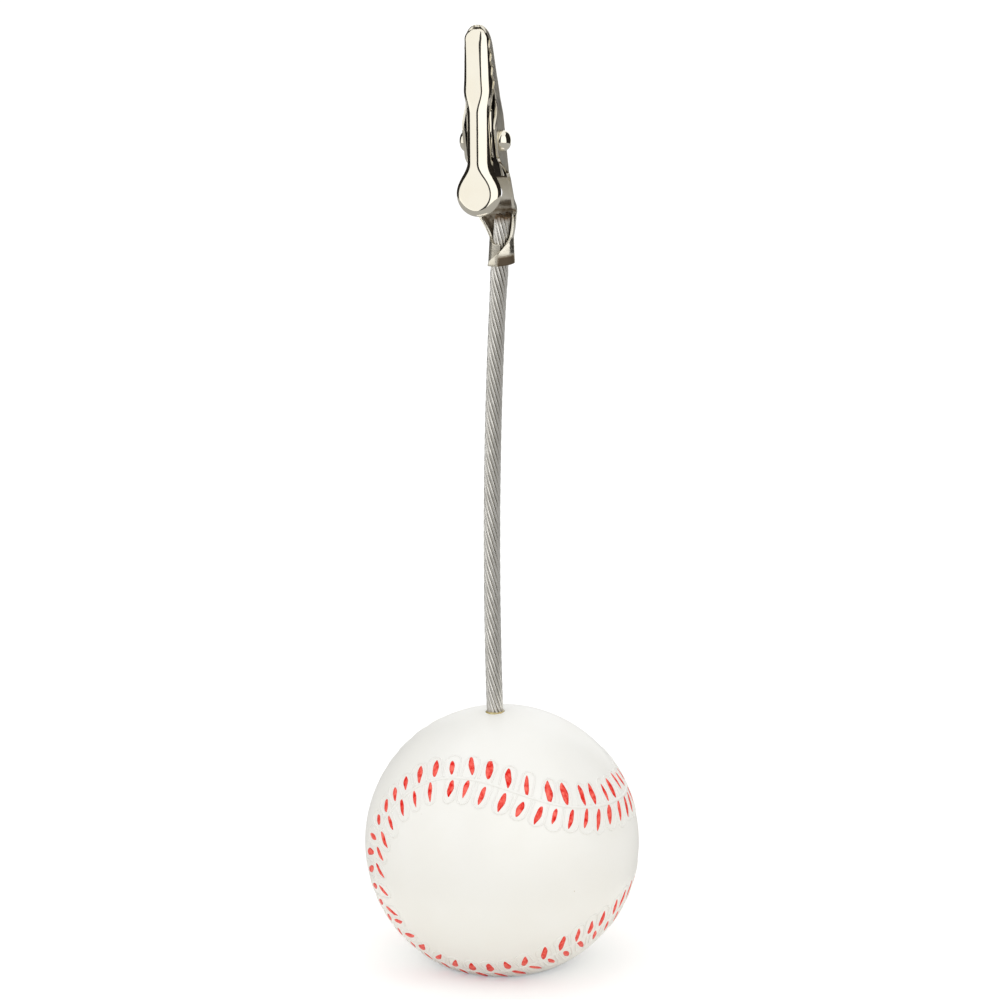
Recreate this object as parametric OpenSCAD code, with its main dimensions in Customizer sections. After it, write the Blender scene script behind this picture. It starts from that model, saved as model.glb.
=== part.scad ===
// Memo clip holder: a moulded baseball on a flat foot, a stiff stranded wire that
// bows out of its top, and a spring clip crimped on the end of the wire.
// Millimetres, +Z up, origin at the middle of the flat foot, front of the ball towards -Y.

/* [Ball] */
// Diameter of the moulded ball
ball_d = 45; // [38:0.5:60]
// Height of ball that the flat foot cuts off
foot_cut = 2.6; // [1.5:0.1:5]
// Depth of the hole for the stalk
hole_depth = 12; // [8:0.5:18]
// Clearance between the stalk and the wall of its hole
hole_gap = 0.25; // [0.1:0.05:0.5]
// Sideways place of the hole on the ball, to the right
hole_x = -1.14; // [-3:0.01:3]
// Front to back place of the hole on the ball
hole_y = -0.8; // [-3:0.1:3]
// Height of the glue above the rim of the hole
glue_h = 0.35; // [0.2:0.05:1]

/* [Seam] */
// Angle between the seam and the poles at the ends of a panel
seam_end = 22.4; // [18:0.1:32]
// Sideways swing of the seam at the waist of a panel
seam_swing = 26.35; // [18:0.05:32]
// Unevenness of that swing
seam_ripple = 0.55; // [0:0.05:1]
// Forward tilt of the seam pattern on the ball
seam_tilt = 4.25; // [-20:0.05:20]
// Sideways roll of the seam pattern on the ball
seam_roll = -2.7; // [-20:0.1:20]
// Number of stitches in each row
stitch_count = 84; // [60:1:100]
// Length of a stitch mark
stitch_l = 3.3; // [2:0.1:4]
// Width of a stitch mark
stitch_w = 1.1; // [0.5:0.05:1.4]
// Distance from the seam to the middle of a stitch mark
stitch_off = 1.95; // [1.8:0.05:3]
// Sweep of the stitch marks away from square to the seam
stitch_sweep = 17; // [0:1:35]
// Thickness of the paint of a stitch mark
paint_t = 0.08; // [0.05:0.01:0.2]

/* [Stalk] */
// Diameter of the stranded wire
stalk_d = 2.7; // [1.6:0.05:4]
// Depth of the grooves between the outer wires
strand_groove = 0.2; // [0.1:0.02:0.3]
// Number of outer wires in the strand
strand_count = 12; // [8:1:14]
// Length of one full turn of the outer wires
lay_l = 21.7; // [14:0.1:30]
// Height of the bottom of the crimp above the foot
crimp_z = 117.6; // [90:0.1:150]
// Radius of the sideways bow of the stalk
bow_x_r = 850; // [600:10:3000]
// Height of the leftmost point of the bow
bow_mid_z = 71; // [50:1:90]
// Radius of the forward bow of the stalk
bow_y_r = 880; // [600:10:3000]

/* [Clip] */
// Turn of the clip about the vertical
clip_yaw = -19; // [-60:1:60]
// Sideways lean of the clip
clip_roll = -4; // [-6:0.5:6]
// Forward lean of the clip
clip_pitch = 5; // [0:0.5:7]
// Thickness of the clip's sheet metal
sheet_t = 0.45; // [0.3:0.05:0.6]
// Outer width of the fixed jaw at the pivot
clip_w = 5.7; // [5.4:0.1:8]
// Outer width of the tail strip
tail_w = 6.4; // [5:0.1:7]
// Outer width of both jaws at the teeth of the nose
nose_w = 4; // [3.6:0.1:5]
// Outer width of the moving jaw at its waist
waist_w = 3.7; // [3.4:0.1:4.2]
// Depth of the whole clip from front to back at the pivot
clip_depth = 7.2; // [6.5:0.1:9]
// Angle between the face of the moving jaw and the back of the fixed jaw
jaw_angle = 15; // [10:0.5:20]
// Distance of the line where the jaws meet in front of the back, at the tip of the nose
bite_in = 1.35; // [1.2:0.05:1.5]
// Angle between that line and the back of the fixed jaw
bite_angle = 7.4; // [6:0.1:9]
// Length of the crimp round the stalk
crimp_l = 4.3; // [3:0.1:7]
// Length of the open funnel above the crimp
funnel_l = 4.1; // [3:0.1:6]
// Length of the flat tail strip above the funnel
tail_l = 5; // [4.5:0.1:8]
// Length of the pivot walls
ear_l = 14.2; // [13:0.1:18]
// Height of the pivot above the foot of the pivot walls
pivot_up = 6.9; // [6:0.1:8]
// Distance of the pivot in front of the back of the fixed jaw
pivot_in = 2.9; // [2.8:0.05:3.6]
// Clearance between the crimp and the stalk
crimp_gap = 0.08; // [0.05:0.01:0.15]
// Clearance between the walls of the two jaws at the pivot
ear_gap = 0.18; // [0.1:0.01:0.25]
// Diameter of the round hole in the tail strip
tail_hole_d = 2.5; // [1.5:0.1:3]
// How far the stalk reaches above the crimp
stalk_past = 3.9; // [2:0.1:4]

/* [Teeth] */
// Pitch of the teeth
tooth_pitch = 2.15; // [1.8:0.05:2.4]
// Number of teeth on each wall
tooth_count = 4; // [3:1:5]
// Height of the teeth
tooth_h = 0.7; // [0.4:0.05:0.8]
// Gap between the closed rows of teeth
tooth_gap = 0.14; // [0.1:0.02:0.3]
// Length of the smooth nose above the teeth
nose_l = 2.4; // [1.6:0.1:3.5]

/* [Thumb pad] */
// Diameter of the round thumb pad
pad_d = 7.3; // [6:0.1:8.5]
// Height of the bottom of the pad above the bottom of the crimp
pad_z = 9.5; // [8.8:0.1:10]
// Depth of the rolled rim of the pad
rim_h = 1.35; // [1:0.05:2]

/* [Rivet and spring] */
// Diameter of the pivot rivet
rivet_d = 1.6; // [1.2:0.1:2]
// Diameter of the domed heads
head_d = 3.56; // [2.8:0.1:4]
// Height of the domed heads
head_h = 1.3; // [0.5:0.05:1.5]
// Clearance between the rivet and its holes in the moving jaw
pin_gap = 0.05; // [0.02:0.01:0.08]
// Diameter of the spring wire
spring_wire = 0.6; // [0.4:0.05:0.65]
// Number of turns in the spring
spring_turns = 4.5; // [3.5:1:5.5]
// Clearance between the spring and the rivet
coil_gap = 0.25; // [0.15:0.05:0.4]

/* [Hidden] */

// Blends, clamped ramps and simple waves
function ramp(a, b, x) = min(1, max(0, (x - a) / (b - a)));
function ease(a, b, x) = let (u = ramp(a, b, x)) u * u * (3 - 2 * u);
function mix(p, q, u) = p * (1 - u) + q * u;
function zigzag(u) = 1 - 4 * abs(u - floor(u) - 0.5);

// Ball: radius, height of its middle, and the rim of the hole
ball_r = ball_d / 2;
ball_z = ball_r - foot_cut;
hole_z = ball_z + sqrt(ball_r * ball_r - hole_x * hole_x - hole_y * hole_y);
hole_r = stalk_d / 2 + hole_gap;

// Middle line of the stalk: two shallow arcs, one sideways and one forward
stalk_r = stalk_d / 2;
stalk_foot_z = hole_z - hole_depth + 0.3;
bow_foot = (hole_z - bow_mid_z) * (hole_z - bow_mid_z) / (2 * bow_x_r);
function stalk_at(z) = [
    hole_x - bow_foot + (z - bow_mid_z) * (z - bow_mid_z) / (2 * bow_x_r),
    hole_y - pow(max(0, z - hole_z), 2) / (2 * bow_y_r),
    z];
hole_lean = atan((hole_z - bow_mid_z) / bow_x_r);

// Frame of the clip: its own +Z runs up the clip, +Y to its back
crimp_at = stalk_at(crimp_z);
stalk_slope = [(crimp_z - bow_mid_z) / bow_x_r, (hole_z - crimp_z) / bow_y_r, 1];
function spin_x(v, a) = [v[0], v[1] * cos(a) - v[2] * sin(a), v[1] * sin(a) + v[2] * cos(a)];
function spin_y(v, a) = [v[0] * cos(a) + v[2] * sin(a), v[1], v[2] * cos(a) - v[0] * sin(a)];
function spin_z(v, a) = [v[0] * cos(a) - v[1] * sin(a), v[0] * sin(a) + v[1] * cos(a), v[2]];
stalk_in_clip = spin_x(spin_y(spin_z(stalk_slope, -clip_yaw), -clip_roll), -clip_pitch);
lean_x = stalk_in_clip[0] / stalk_in_clip[2];
lean_y = stalk_in_clip[1] / stalk_in_clip[2];
stalk_end_z = crimp_z + (crimp_l + stalk_past) / stalk_in_clip[2];
module in_clip() translate(crimp_at) rotate([clip_pitch, clip_roll, clip_yaw]) children();

// Heights along the clip, from the bottom of the crimp
funnel_z = crimp_l + funnel_l;
ear_z = funnel_z + tail_l;
pivot_z = ear_z + pivot_up;
mouth_z = ear_z + ear_l;
teeth_top_z = mouth_z + tooth_count * tooth_pitch;
nose_z = teeth_top_z + nose_l;

// Depths in the clip, from the middle of the stalk at the crimp
crimp_r = stalk_r + crimp_gap;
crimp_web = crimp_r + sheet_t / 2;
web_step = 0.6 + lean_y * funnel_z;
jaw_web = crimp_web - 0.6;
jaw_back = jaw_web + sheet_t / 2;
pivot_y = jaw_back - pivot_in;
face_pivot_y = jaw_back - clip_depth;
function web_y(z) = crimp_web + lean_y * min(z, funnel_z)
    - web_step * ease(funnel_z + 0.2, funnel_z + 2, z);
function face_line(z) = face_pivot_y + (z - pivot_z) * tan(jaw_angle);
bite_tip_y = jaw_back - bite_in;
function bite_line(z) = bite_tip_y - (nose_z - z) * tan(bite_angle);
function teeth(z) = bite_line(z) + tooth_h / 2 * zigzag((z - mouth_z) / tooth_pitch - 0.5);

// Sheet metal: half a channel section as its middle line, from the web to the free edge
web_points = 2;
bend_points = 4;
wall_points = 6;
half_points = web_points + bend_points + wall_points;
function channel_half(w, r, h, y, way) = concat(
    [for (i = [0 : web_points]) [(w - r) * i / web_points, y]],
    [for (i = [1 : bend_points]) let (a = 90 * i / bend_points)
        [w - r + r * sin(a), y + way * r * (1 - cos(a))]],
    [for (i = [1 : wall_points]) [w, y + way * (r + (h - r) * i / wall_points)]]);
function bend_r(r, w, h) = max(sheet_t / 2 + 0.04, min(r, 0.95 * w, 0.9 * h));
function flip(half) = [for (i = [len(half) - 1 : -1 : 1]) [-half[i][0], half[i][1]]];

// The closed outline of a sheet section, at height z, from its middle line
function sheet_ring(line, z) =
    let (last = len(line) - 1,
         side = [for (i = [0 : last])
            let (d = line[min(i + 1, last)] - line[max(i - 1, 0)])
            [d[1], -d[0]] / norm(d) * sheet_t / 2])
    concat([for (i = [0 : last]) [line[i][0] + side[i][0], line[i][1] + side[i][1], z]],
           [for (i = [last : -1 : 0]) [line[i][0] - side[i][0], line[i][1] - side[i][1], z]]);

// A skin over a stack of rings, with a strip cap on each end
module skin(rings, strip_cap = true) {
    n = len(rings[0]);
    last = len(rings) - 1;
    half = n / 2;
    sides = [for (i = [0 : last - 1], j = [0 : n - 1])
        let (a = i * n + j, b = i * n + (j + 1) % n)
        each [[a, a + n, b], [b, a + n, b + n]]];
    caps = strip_cap
        ? [for (j = [0 : half - 2], e = [0, 1])
            let (p = j, q = j + 1, r = n - 2 - j, s = n - 1 - j, k = e * last * n)
            each e == 0 ? [[p, q, r], [p, r, s]] : [[k + q, k + p, k + r], [k + r, k + p, k + s]]]
        : [[for (j = [0 : n - 1]) j], [for (j = [n - 1 : -1 : 0]) last * n + j]];
    polyhedron([for (r = rings) each r], concat(sides, caps), convexity = 10);
}

// Seam of a ball: one closed curve on the unit sphere, by an angle from 0 to 720
function seam_turn(v) = spin_y(spin_x([-v[2], -v[0], v[1]], seam_tilt), seam_roll);
function seam_at(t) =
    let (a = 90 - (90 - seam_end) * cos(t), b = t / 2 + seam_swing * sin(2 * t) + seam_ripple * sin(6 * t))
    seam_turn([sin(a) * cos(b), sin(a) * sin(b), cos(a)]);
seam_steps = 240;
seam_lengths = [for (i = 0, s = 0; i <= seam_steps;
    s = s + norm(seam_at((i + 1) * 720 / seam_steps) - seam_at(i * 720 / seam_steps)) * ball_r,
    i = i + 1) s];
seam_l = seam_lengths[seam_steps];
seam_table = [for (i = [0 : seam_steps]) [seam_lengths[i], i * 720 / seam_steps]];
stitch_pitch = seam_l / stitch_count;

// Place along the seam of stitch k on one side, which opens out and closes up a little
function stitch_place(k, side) =
    let (s = k * stitch_pitch + (side > 0 ? 7.7 : 0.2))
    s + (side > 0 ? -2.1 : 2.2) * sin(720 * s / seam_l - 5.5);

// Puts its children on the ball beside the seam: +X along the seam, +Y away from it
module at_stitch(k, side) {
    s = stitch_place(k, side);
    t = lookup(s - seam_l * floor(s / seam_l), seam_table);
    c = seam_at(t);
    along = seam_at(t + 0.5) - seam_at(t - 0.5);
    x = along / norm(along);
    y = cross(c, x);
    turn = side > 0 ? 0 : 180;
    m = [[x[0], y[0], c[0], 0], [x[1], y[1], c[1], 0], [x[2], y[2], c[2], ball_z], [0, 0, 0, 1]];
    multmatrix(m)
        rotate([side > 0 ? -stitch_angle : stitch_angle, 0, 0])
        rotate([0, 0, turn + side * stitch_sweep])
        children();
}
stitch_angle = stitch_off / ball_r * 180 / PI;

// An almond, long in Y, of two arcs
module almond(l, w) {
    r = (l * l + w * w) / (4 * w);
    intersection() {
        translate([r - w / 2, 0]) circle(r = r, $fn = 96);
        translate([w / 2 - r, 0]) circle(r = r, $fn = 96);
    }
}

module ball() color([0.95, 0.94, 0.91]) difference() {
    translate([0, 0, ball_z]) sphere(r = ball_r, $fn = 128);
    translate([-ball_d, -ball_d, -ball_d]) cube([2 * ball_d, 2 * ball_d, ball_d]);
    translate([hole_x, hole_y, hole_z]) rotate([0, hole_lean, 0])
        translate([0, 0, -hole_depth]) cylinder(r = hole_r, h = hole_depth + 3, $fn = 64);
}

// Red paint in the loops on both sides of the seam
module stitch_marks() color([0.85, 0.16, 0.13])
    for (side = [1, -1], k = [0 : stitch_count - 1]) intersection() {
        at_stitch(k, side) translate([0, 0, ball_r - 0.5]) linear_extrude(1)
            almond(stitch_l * (1 + 0.1 * sin(97 * k)), stitch_w * (1 + 0.2 * sin(61 * k + 80 * side)));
        difference() {
            translate([0, 0, ball_z]) sphere(r = ball_r + paint_t, $fn = 128);
            translate([0, 0, ball_z]) sphere(r = ball_r, $fn = 128);
        }
    }

// Amber glue that rises a little out of the hole round the stalk
module glue_ring() color([0.72, 0.52, 0.2])
    translate([hole_x, hole_y, hole_z]) rotate([0, hole_lean, 0]) rotate_extrude($fn = 64)
        polygon([[stalk_r + 0.02, -1.2], [hole_r - 0.01, -1.2], [hole_r - 0.01, -0.05],
                 [stalk_r + 0.1, glue_h], [stalk_r + 0.02, glue_h]]);

// Stranded wire: a lobed section that turns left-handed along the bowed middle line
module wire_stalk() color([0.62, 0.62, 0.6]) {
    rings = 88;
    points = 2 * strand_count;
    h = stalk_end_z - stalk_foot_z;
    skin([for (i = [0 : rings]) let (z = stalk_foot_z + h * i / rings, c = stalk_at(z))
        [for (j = [0 : points - 1])
            let (a = 360 * j / points - 360 * (z - stalk_foot_z) / lay_l,
                 r = j % 2 == 0 ? stalk_r : stalk_r - strand_groove)
            [c[0] + r * cos(a), c[1] + r * sin(a), z]]], strip_cap = false);
}

// Half of the wrapped crimp section: an arc round the stalk, which the right ear ends outside
function crimp_half(z, end_angle, side) =
    [for (i = [0 : half_points])
        let (a = end_angle * i / half_points,
             r = crimp_web + (side > 0 ? mix(0.8, 0.25, z / crimp_l) * ease(20, 115, a) : 0))
        [r * sin(a) + side * lean_x * z, r * cos(a) + lean_y * z]];

// Angles that the two crimp ears reach round the stalk, by height
function right_ear(z) = 209 - 98 * ramp(0.7, crimp_l, z);
lap_z = crimp_l * 0.76;
function left_ear(z) = 195 - 35 * ramp(lap_z, lap_z + 0.1, z) - 50 * ramp(lap_z + 0.1, crimp_l, z);

// Fixed jaw: half width, wall height and bend radius of its channel, by height
function fixed_half_w(z) =
    mix(mix(tail_w, clip_w, ease(funnel_z + 0.5, ear_z + 2, z)),
        mix(nose_w + 0.6, nose_w, ramp(mouth_z, teeth_top_z, z)),
        ease(mouth_z - 3.9, mouth_z, z)) / 2 - nose_round(z);
function nose_round(z) = 0.3 * pow(ramp(nose_z - 2.2, nose_z - 1.1, z), 2)
    + (nose_w / 2 - 1) * ease(nose_z - 1.2, nose_z - 0.5, z);
function nose_sink(z) = 1 - sqrt(1 - pow(ramp(nose_z - 1.5, nose_z, z), 2));
lip_h = 0.85;
ear_top = clip_depth - 2.35;
function fixed_free_y(z) =
    z > mouth_z ? min(teeth(z), fixed_web_y(z) - 0.2)
    : mix(jaw_back - lip_h,
          mix(jaw_back - ear_top, bite_line(mouth_z) + 0.2, ease(pivot_z + 2.3, mouth_z - 0.8, z)),
          ease(ear_z + 0.4, ear_z + 5, z));
function fixed_web_y(z) = mix(web_y(z), bite_tip_y + 0.45, 0.8 * nose_sink(z));
function funnel_wall(z) = mix(1.7, lip_h, ease(funnel_z - 1.1, funnel_z + 0.1, z));
function fixed_half(z) =
    let (w = fixed_half_w(z) - sheet_t / 2,
         h = z > funnel_z ? fixed_web_y(z) - fixed_free_y(z) : funnel_wall(z),
         r = bend_r(mix(0.35, 0.75, ease(ear_z, ear_z + 1.5, z)), w, h))
    channel_half(w, r, max(h, r + 0.1), fixed_web_y(z), -1);
function fixed_line(z) =
    let (open = ramp(crimp_l, crimp_l + funnel_l * 0.9, z), flat = fixed_half(z),
         right = mix(crimp_half(z, right_ear(z), 1), flat, open),
         left = mix(crimp_half(z, left_ear(z), -1), flat, open))
    concat(flip(left), [mix([lean_x * z, crimp_web + lean_y * z], flat[0], open)],
           [for (i = [1 : half_points]) right[i]]);
fixed_stations = concat(
    [for (u = [0, 0.16, 0.35, 0.53, 0.65]) crimp_l * u], [lap_z, lap_z + 0.1, crimp_l * 0.89],
    [for (u = [0 : 0.14 : 0.98]) crimp_l + funnel_l * u],
    [for (u = [0.05, 0.2, 0.45, 0.95]) funnel_z + tail_l * u],
    [for (u = [0.04, 0.09, 0.14, 0.19, 0.24, 0.3, 0.36, 0.49, 0.62, 0.7, 0.78, 0.86, 0.93])
        ear_z + ear_l * u],
    [for (i = [0 : 2 * tooth_count]) mouth_z + i * tooth_pitch / 2],
    [for (u = [0.3, 0.5, 0.6, 0.7, 0.8, 0.9, 1]) teeth_top_z + nose_l * u]);

module pivot_bore(r) in_clip() translate([-clip_w, pivot_y, pivot_z]) rotate([0, 90, 0])
    cylinder(r = r, h = 2 * clip_w, $fn = 64);

module fixed_jaw() color([0.78, 0.76, 0.7]) difference() {
    in_clip() skin([for (z = fixed_stations) sheet_ring(fixed_line(z), z)]);
    pivot_bore(rivet_d / 2 + 0.01);
    in_clip() translate([0, jaw_back + 1, funnel_z + tail_l * 0.58]) rotate([90, 0, 0])
        cylinder(d = tail_hole_d, h = 3, $fn = 64);
}

// Moving jaw: its outline seen from the front, by height
pad_r = pad_d / 2;
flare_l = pad_r * 1.3;
function pad_half_w(z) =
    z < pad_z + pad_r ? sqrt(max(0.7, pow(pad_r, 2) - pow(pad_z + pad_r - z, 2)))
    : mix(pad_r, waist_w / 2, (1 - cos(180 * ramp(0, flare_l, z - pad_z - pad_r))) / 2);
function moving_nose_round(z) =
    (nose_w / 2 - 0.55) * (1 - sqrt(1 - pow(ramp(nose_z - 1.7, nose_z - 0.45, z), 2)));
function moving_half_w(z) =
    mix(pad_half_w(z), nose_w / 2, ease(pivot_z + 3, mouth_z, z)) - moving_nose_round(z);
function pad_sink(z) = 1 - sqrt(1 - pow(1 - ramp(pad_z, pad_z + rim_h, z), 2));
function moving_face_y(z) =
    mix(face_line(z) + (rim_h - sheet_t - 0.2) * pad_sink(z), bite_tip_y - 0.9,
        0.8 * nose_sink(z)) + sheet_t / 2;
ear_r = rivet_d / 2 + 1.1;
function moving_low_y(z) =
    mix(face_line(z) + rim_h, bite_line(z) - tooth_gap - tooth_h / 2,
        ease(ear_z + 1.6, pivot_z - 1, z));
function moving_free_y(z) =
    let (edge = z > mouth_z ? teeth(z) - tooth_gap : moving_low_y(z))
    max(edge,
        abs(z - pivot_z) < ear_r ? pivot_y + sqrt(pow(ear_r, 2) - pow(z - pivot_z, 2)) : edge);

function moving_half(z) =
    let (w = moving_half_w(z) - sheet_t / 2,
         h = moving_free_y(z) - moving_face_y(z),
         r = bend_r(mix(0.95, 1.55, ease(ear_z, ear_z + 3, z) - ease(pivot_z + 2, mouth_z, z)),
                    w, moving_low_y(z) - moving_face_y(z)))
    channel_half(w, r, max(h, r + 0.1), moving_face_y(z), 1);
function moving_line(z) = let (half = moving_half(z)) concat(flip(half), half);
moving_stations = concat(
    [for (u = [0, 0.03, 0.09, 0.17, 0.27, 0.4, 0.55, 0.72, 0.9]) pad_z + pad_d * u],
    [for (u = [0.25, 0.5, 0.75, 1]) pad_z + pad_d * 0.9 + (pivot_z - ear_r - pad_z - pad_d * 0.9) * u],
    [for (u = [0.25, 0.6, 1, 1.4, 1.75, 2]) pivot_z - ear_r + ear_r * u],
    [for (u = [0.2, 0.4, 0.6, 0.8, 0.97]) pivot_z + ear_r + (mouth_z - pivot_z - ear_r) * u],
    [for (i = [0 : 2 * tooth_count]) mouth_z + i * tooth_pitch / 2],
    [for (u = [0.4, 0.6, 0.78, 0.9, 0.97, 1]) teeth_top_z + (nose_l - 0.45) * u]);

// Pressed boss of the waist walls: an oval round the pivot, cut off at the wall's free edge,
// from one distance off the middle of the clip to another
ear_x = clip_w / 2 - sheet_t - ear_gap;
boss_z = pivot_z + 1;
module boss(x0, x1, inset) in_clip() for (side = [0, 1]) mirror([side, 0, 0])
    translate([x0, 0, 0]) rotate([90, 0, 90]) linear_extrude(x1 - x0) intersection() {
        polygon([for (a = [0 : 6 : 354])
            [pivot_y + (3 - inset) * cos(a), boss_z + (4.5 - inset) * sin(a)]]);
        polygon(concat([[-2 * clip_depth, boss_z + 5], [-2 * clip_depth, boss_z - 5]],
            [for (z = [boss_z - 5 : 0.25 : boss_z + 5.01]) [moving_free_y(z) - inset / 9, z]]));
    }

module moving_jaw() color([0.85, 0.83, 0.77]) difference() {
    union() {
        in_clip() skin([for (z = moving_stations) sheet_ring(moving_line(z), z)]);
        boss(waist_w / 2 - sheet_t / 2, ear_x, 0);
    }
    boss(waist_w / 2 - sheet_t - 0.5, ear_x - sheet_t, sheet_t);
    pivot_bore(rivet_d / 2 + pin_gap);
}

// Rivet: a pin with a domed head against each side of the fixed jaw
module pivot_rivet() color([0.8, 0.78, 0.73])
    in_clip() translate([0, pivot_y, pivot_z]) rotate([0, 90, 0]) {
        translate([0, 0, -clip_w / 2]) cylinder(d = rivet_d, h = clip_w, $fn = 64);
        for (side = [0, 1]) mirror([0, 0, side]) intersection() {
            r = (head_d * head_d / 4 + head_h * head_h) / (2 * head_h);
            translate([0, 0, clip_w / 2 + head_h - r]) sphere(r = r, $fn = 96);
            translate([0, 0, clip_w / 2]) cylinder(d = head_d, h = head_h + 1, $fn = 96);
        }
    }

// Spring: a coil round the rivet, with one leg down each half of the clip
coil_r = (rivet_d + spring_wire) / 2 + coil_gap;
coil_half = (spring_turns - 0.5) * (spring_wire + 0.04) / 2;
spring_r = spring_wire / 2;
fixed_leg_end = [coil_half + 0.5, jaw_web - sheet_t / 2 - spring_r - 0.05, pivot_z - 6.2];
moving_leg_z = pivot_z - 5.6;
moving_leg_end = [1.1 - coil_half, face_line(moving_leg_z) + sheet_t + spring_r + 0.1, moving_leg_z];
spring_path = concat(
    [moving_leg_end],
    [for (i = [0 : spring_turns * 16]) let (a = 180 + 360 * i / 16, u = i / (spring_turns * 16))
        [mix(-coil_half, coil_half, u), pivot_y + coil_r * cos(a), pivot_z + coil_r * sin(a)]],
    [fixed_leg_end + [-0.1, -0.1, 2.5], fixed_leg_end]);
function path_way(p, i) = p[min(i + 1, len(p) - 1)] - p[max(i - 1, 0)];
module jaw_spring() color([0.7, 0.7, 0.68]) in_clip()
    skin([for (i = [0 : len(spring_path) - 1])
        let (d = path_way(spring_path, i), w = d / norm(d), v = cross([1, 0, 0], w) / norm(cross([1, 0, 0], w)),
             u = cross(v, w))
        [for (j = [0 : 7]) spring_path[i] + spring_r * (u * cos(45 * j) + v * sin(45 * j))]],
        strip_cap = false);

ball();
stitch_marks();
glue_ring();
wire_stalk();
fixed_jaw();
moving_jaw();
pivot_rivet();
jaw_spring();
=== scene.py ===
import math
import random

import bmesh
import bpy
from mathutils import Matrix, Vector, noise


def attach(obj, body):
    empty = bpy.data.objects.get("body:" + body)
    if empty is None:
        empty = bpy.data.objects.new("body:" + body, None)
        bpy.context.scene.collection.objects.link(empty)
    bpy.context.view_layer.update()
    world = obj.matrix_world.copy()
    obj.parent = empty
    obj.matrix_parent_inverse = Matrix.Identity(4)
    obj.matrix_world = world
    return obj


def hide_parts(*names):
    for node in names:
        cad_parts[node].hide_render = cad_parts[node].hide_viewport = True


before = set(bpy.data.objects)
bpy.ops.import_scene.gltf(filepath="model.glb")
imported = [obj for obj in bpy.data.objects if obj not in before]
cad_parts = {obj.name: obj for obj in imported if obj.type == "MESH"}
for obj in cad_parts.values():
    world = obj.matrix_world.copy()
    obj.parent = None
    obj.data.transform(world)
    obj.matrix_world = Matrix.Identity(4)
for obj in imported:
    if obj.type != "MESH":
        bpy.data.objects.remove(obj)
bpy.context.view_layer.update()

MM = 0.001
scene = bpy.context.scene


# Camera: a long lens from the front, with the ball seen from 18 degrees above and the
# clip from about 10.
camera = bpy.data.objects.new("camera", bpy.data.cameras.new("camera"))
camera.data.sensor_width = 36
camera.data.lens = 180
camera.data.clip_end = 50
camera.location = (-0.33 * MM, -783.7 * MM, 274.5 * MM)
camera.rotation_euler = (math.radians(90 - 14.1), 0, 0)
scene.collection.objects.link(camera)
scene.camera = camera
scene.view_settings.view_transform = "Standard"


# Floor and light: a white sweep under an even white tent, three soft boxes, and dark and
# bright cards that only polished metal sees, set to draw the edges of a clip.
def add_object(name, bm, material=None):
    """Turns a bmesh into an object of the scene."""
    mesh = bpy.data.meshes.new(name)
    bm.to_mesh(mesh)
    bm.free()
    if material is not None:
        mesh.materials.append(material)
    made = bpy.data.objects.new(name, mesh)
    scene.collection.objects.link(made)
    return made


glow_colour, glow_level = (1, 1.1, 1.3, 1), 0.2
tent_for_shading, tent_seen = 0.95, 1.0
floor_mat = bpy.data.materials.new("white_floor")
floor_mat.use_nodes = True
floor_nodes, floor_links = floor_mat.node_tree.nodes, floor_mat.node_tree.links
floor_nodes["Principled BSDF"].inputs["Base Color"].default_value = (0.9, 0.88, 0.83, 1)
floor_nodes["Principled BSDF"].inputs["Roughness"].default_value = 0.9
floor_nodes["Principled BSDF"].inputs["Specular IOR Level"].default_value = 0
floor_path = floor_nodes.new("ShaderNodeLightPath")
floor_glow = floor_nodes.new("ShaderNodeEmission")
floor_sum = floor_nodes.new("ShaderNodeAddShader")
floor_glow.inputs["Color"].default_value = glow_colour
floor_level = floor_nodes.new("ShaderNodeMath")
floor_level.operation = "MULTIPLY"
floor_level.inputs[1].default_value = glow_level
floor_seen = floor_nodes.new("ShaderNodeMath")
floor_seen.operation = "MAXIMUM"
floor_links.new(floor_path.outputs["Is Camera Ray"], floor_seen.inputs[0])
floor_links.new(floor_path.outputs["Is Glossy Ray"], floor_seen.inputs[1])
floor_links.new(floor_seen.outputs[0], floor_level.inputs[0])
floor_links.new(floor_level.outputs[0], floor_glow.inputs["Strength"])
floor_links.new(floor_nodes["Principled BSDF"].outputs[0], floor_sum.inputs[0])
floor_links.new(floor_glow.outputs[0], floor_sum.inputs[1])
floor_links.new(floor_sum.outputs[0], floor_nodes["Material Output"].inputs["Surface"])
floor_bm = bmesh.new()
bmesh.ops.create_grid(floor_bm, x_segments=4, y_segments=4, size=6)
add_object("floor", floor_bm, floor_mat)

world = bpy.data.worlds.new("tent")
scene.world = world
world.use_nodes = True
world_nodes, world_links = world.node_tree.nodes, world.node_tree.links
world_path = world_nodes.new("ShaderNodeLightPath")
world_seen = world_nodes.new("ShaderNodeMath")
world_seen.operation = "MAXIMUM"
world_links.new(world_path.outputs["Is Camera Ray"], world_seen.inputs[0])
world_links.new(world_path.outputs["Is Glossy Ray"], world_seen.inputs[1])
world_all = world_nodes.new("ShaderNodeMath")
world_all.operation = "MAXIMUM"
world_links.new(world_seen.outputs[0], world_all.inputs[0])
world_links.new(world_path.outputs["Is Transmission Ray"], world_all.inputs[1])
world_level = world_nodes.new("ShaderNodeMapRange")
world_level.inputs["To Min"].default_value = tent_for_shading
world_level.inputs["To Max"].default_value = tent_seen
world_links.new(world_all.outputs[0], world_level.inputs["Value"])
world_nodes["Background"].inputs["Color"].default_value = (1, 1, 1, 1)
world_links.new(world_level.outputs[0], world_nodes["Background"].inputs["Strength"])


box_size = 0.5
aim_at = Vector((0, 0, 0.08))


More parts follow.
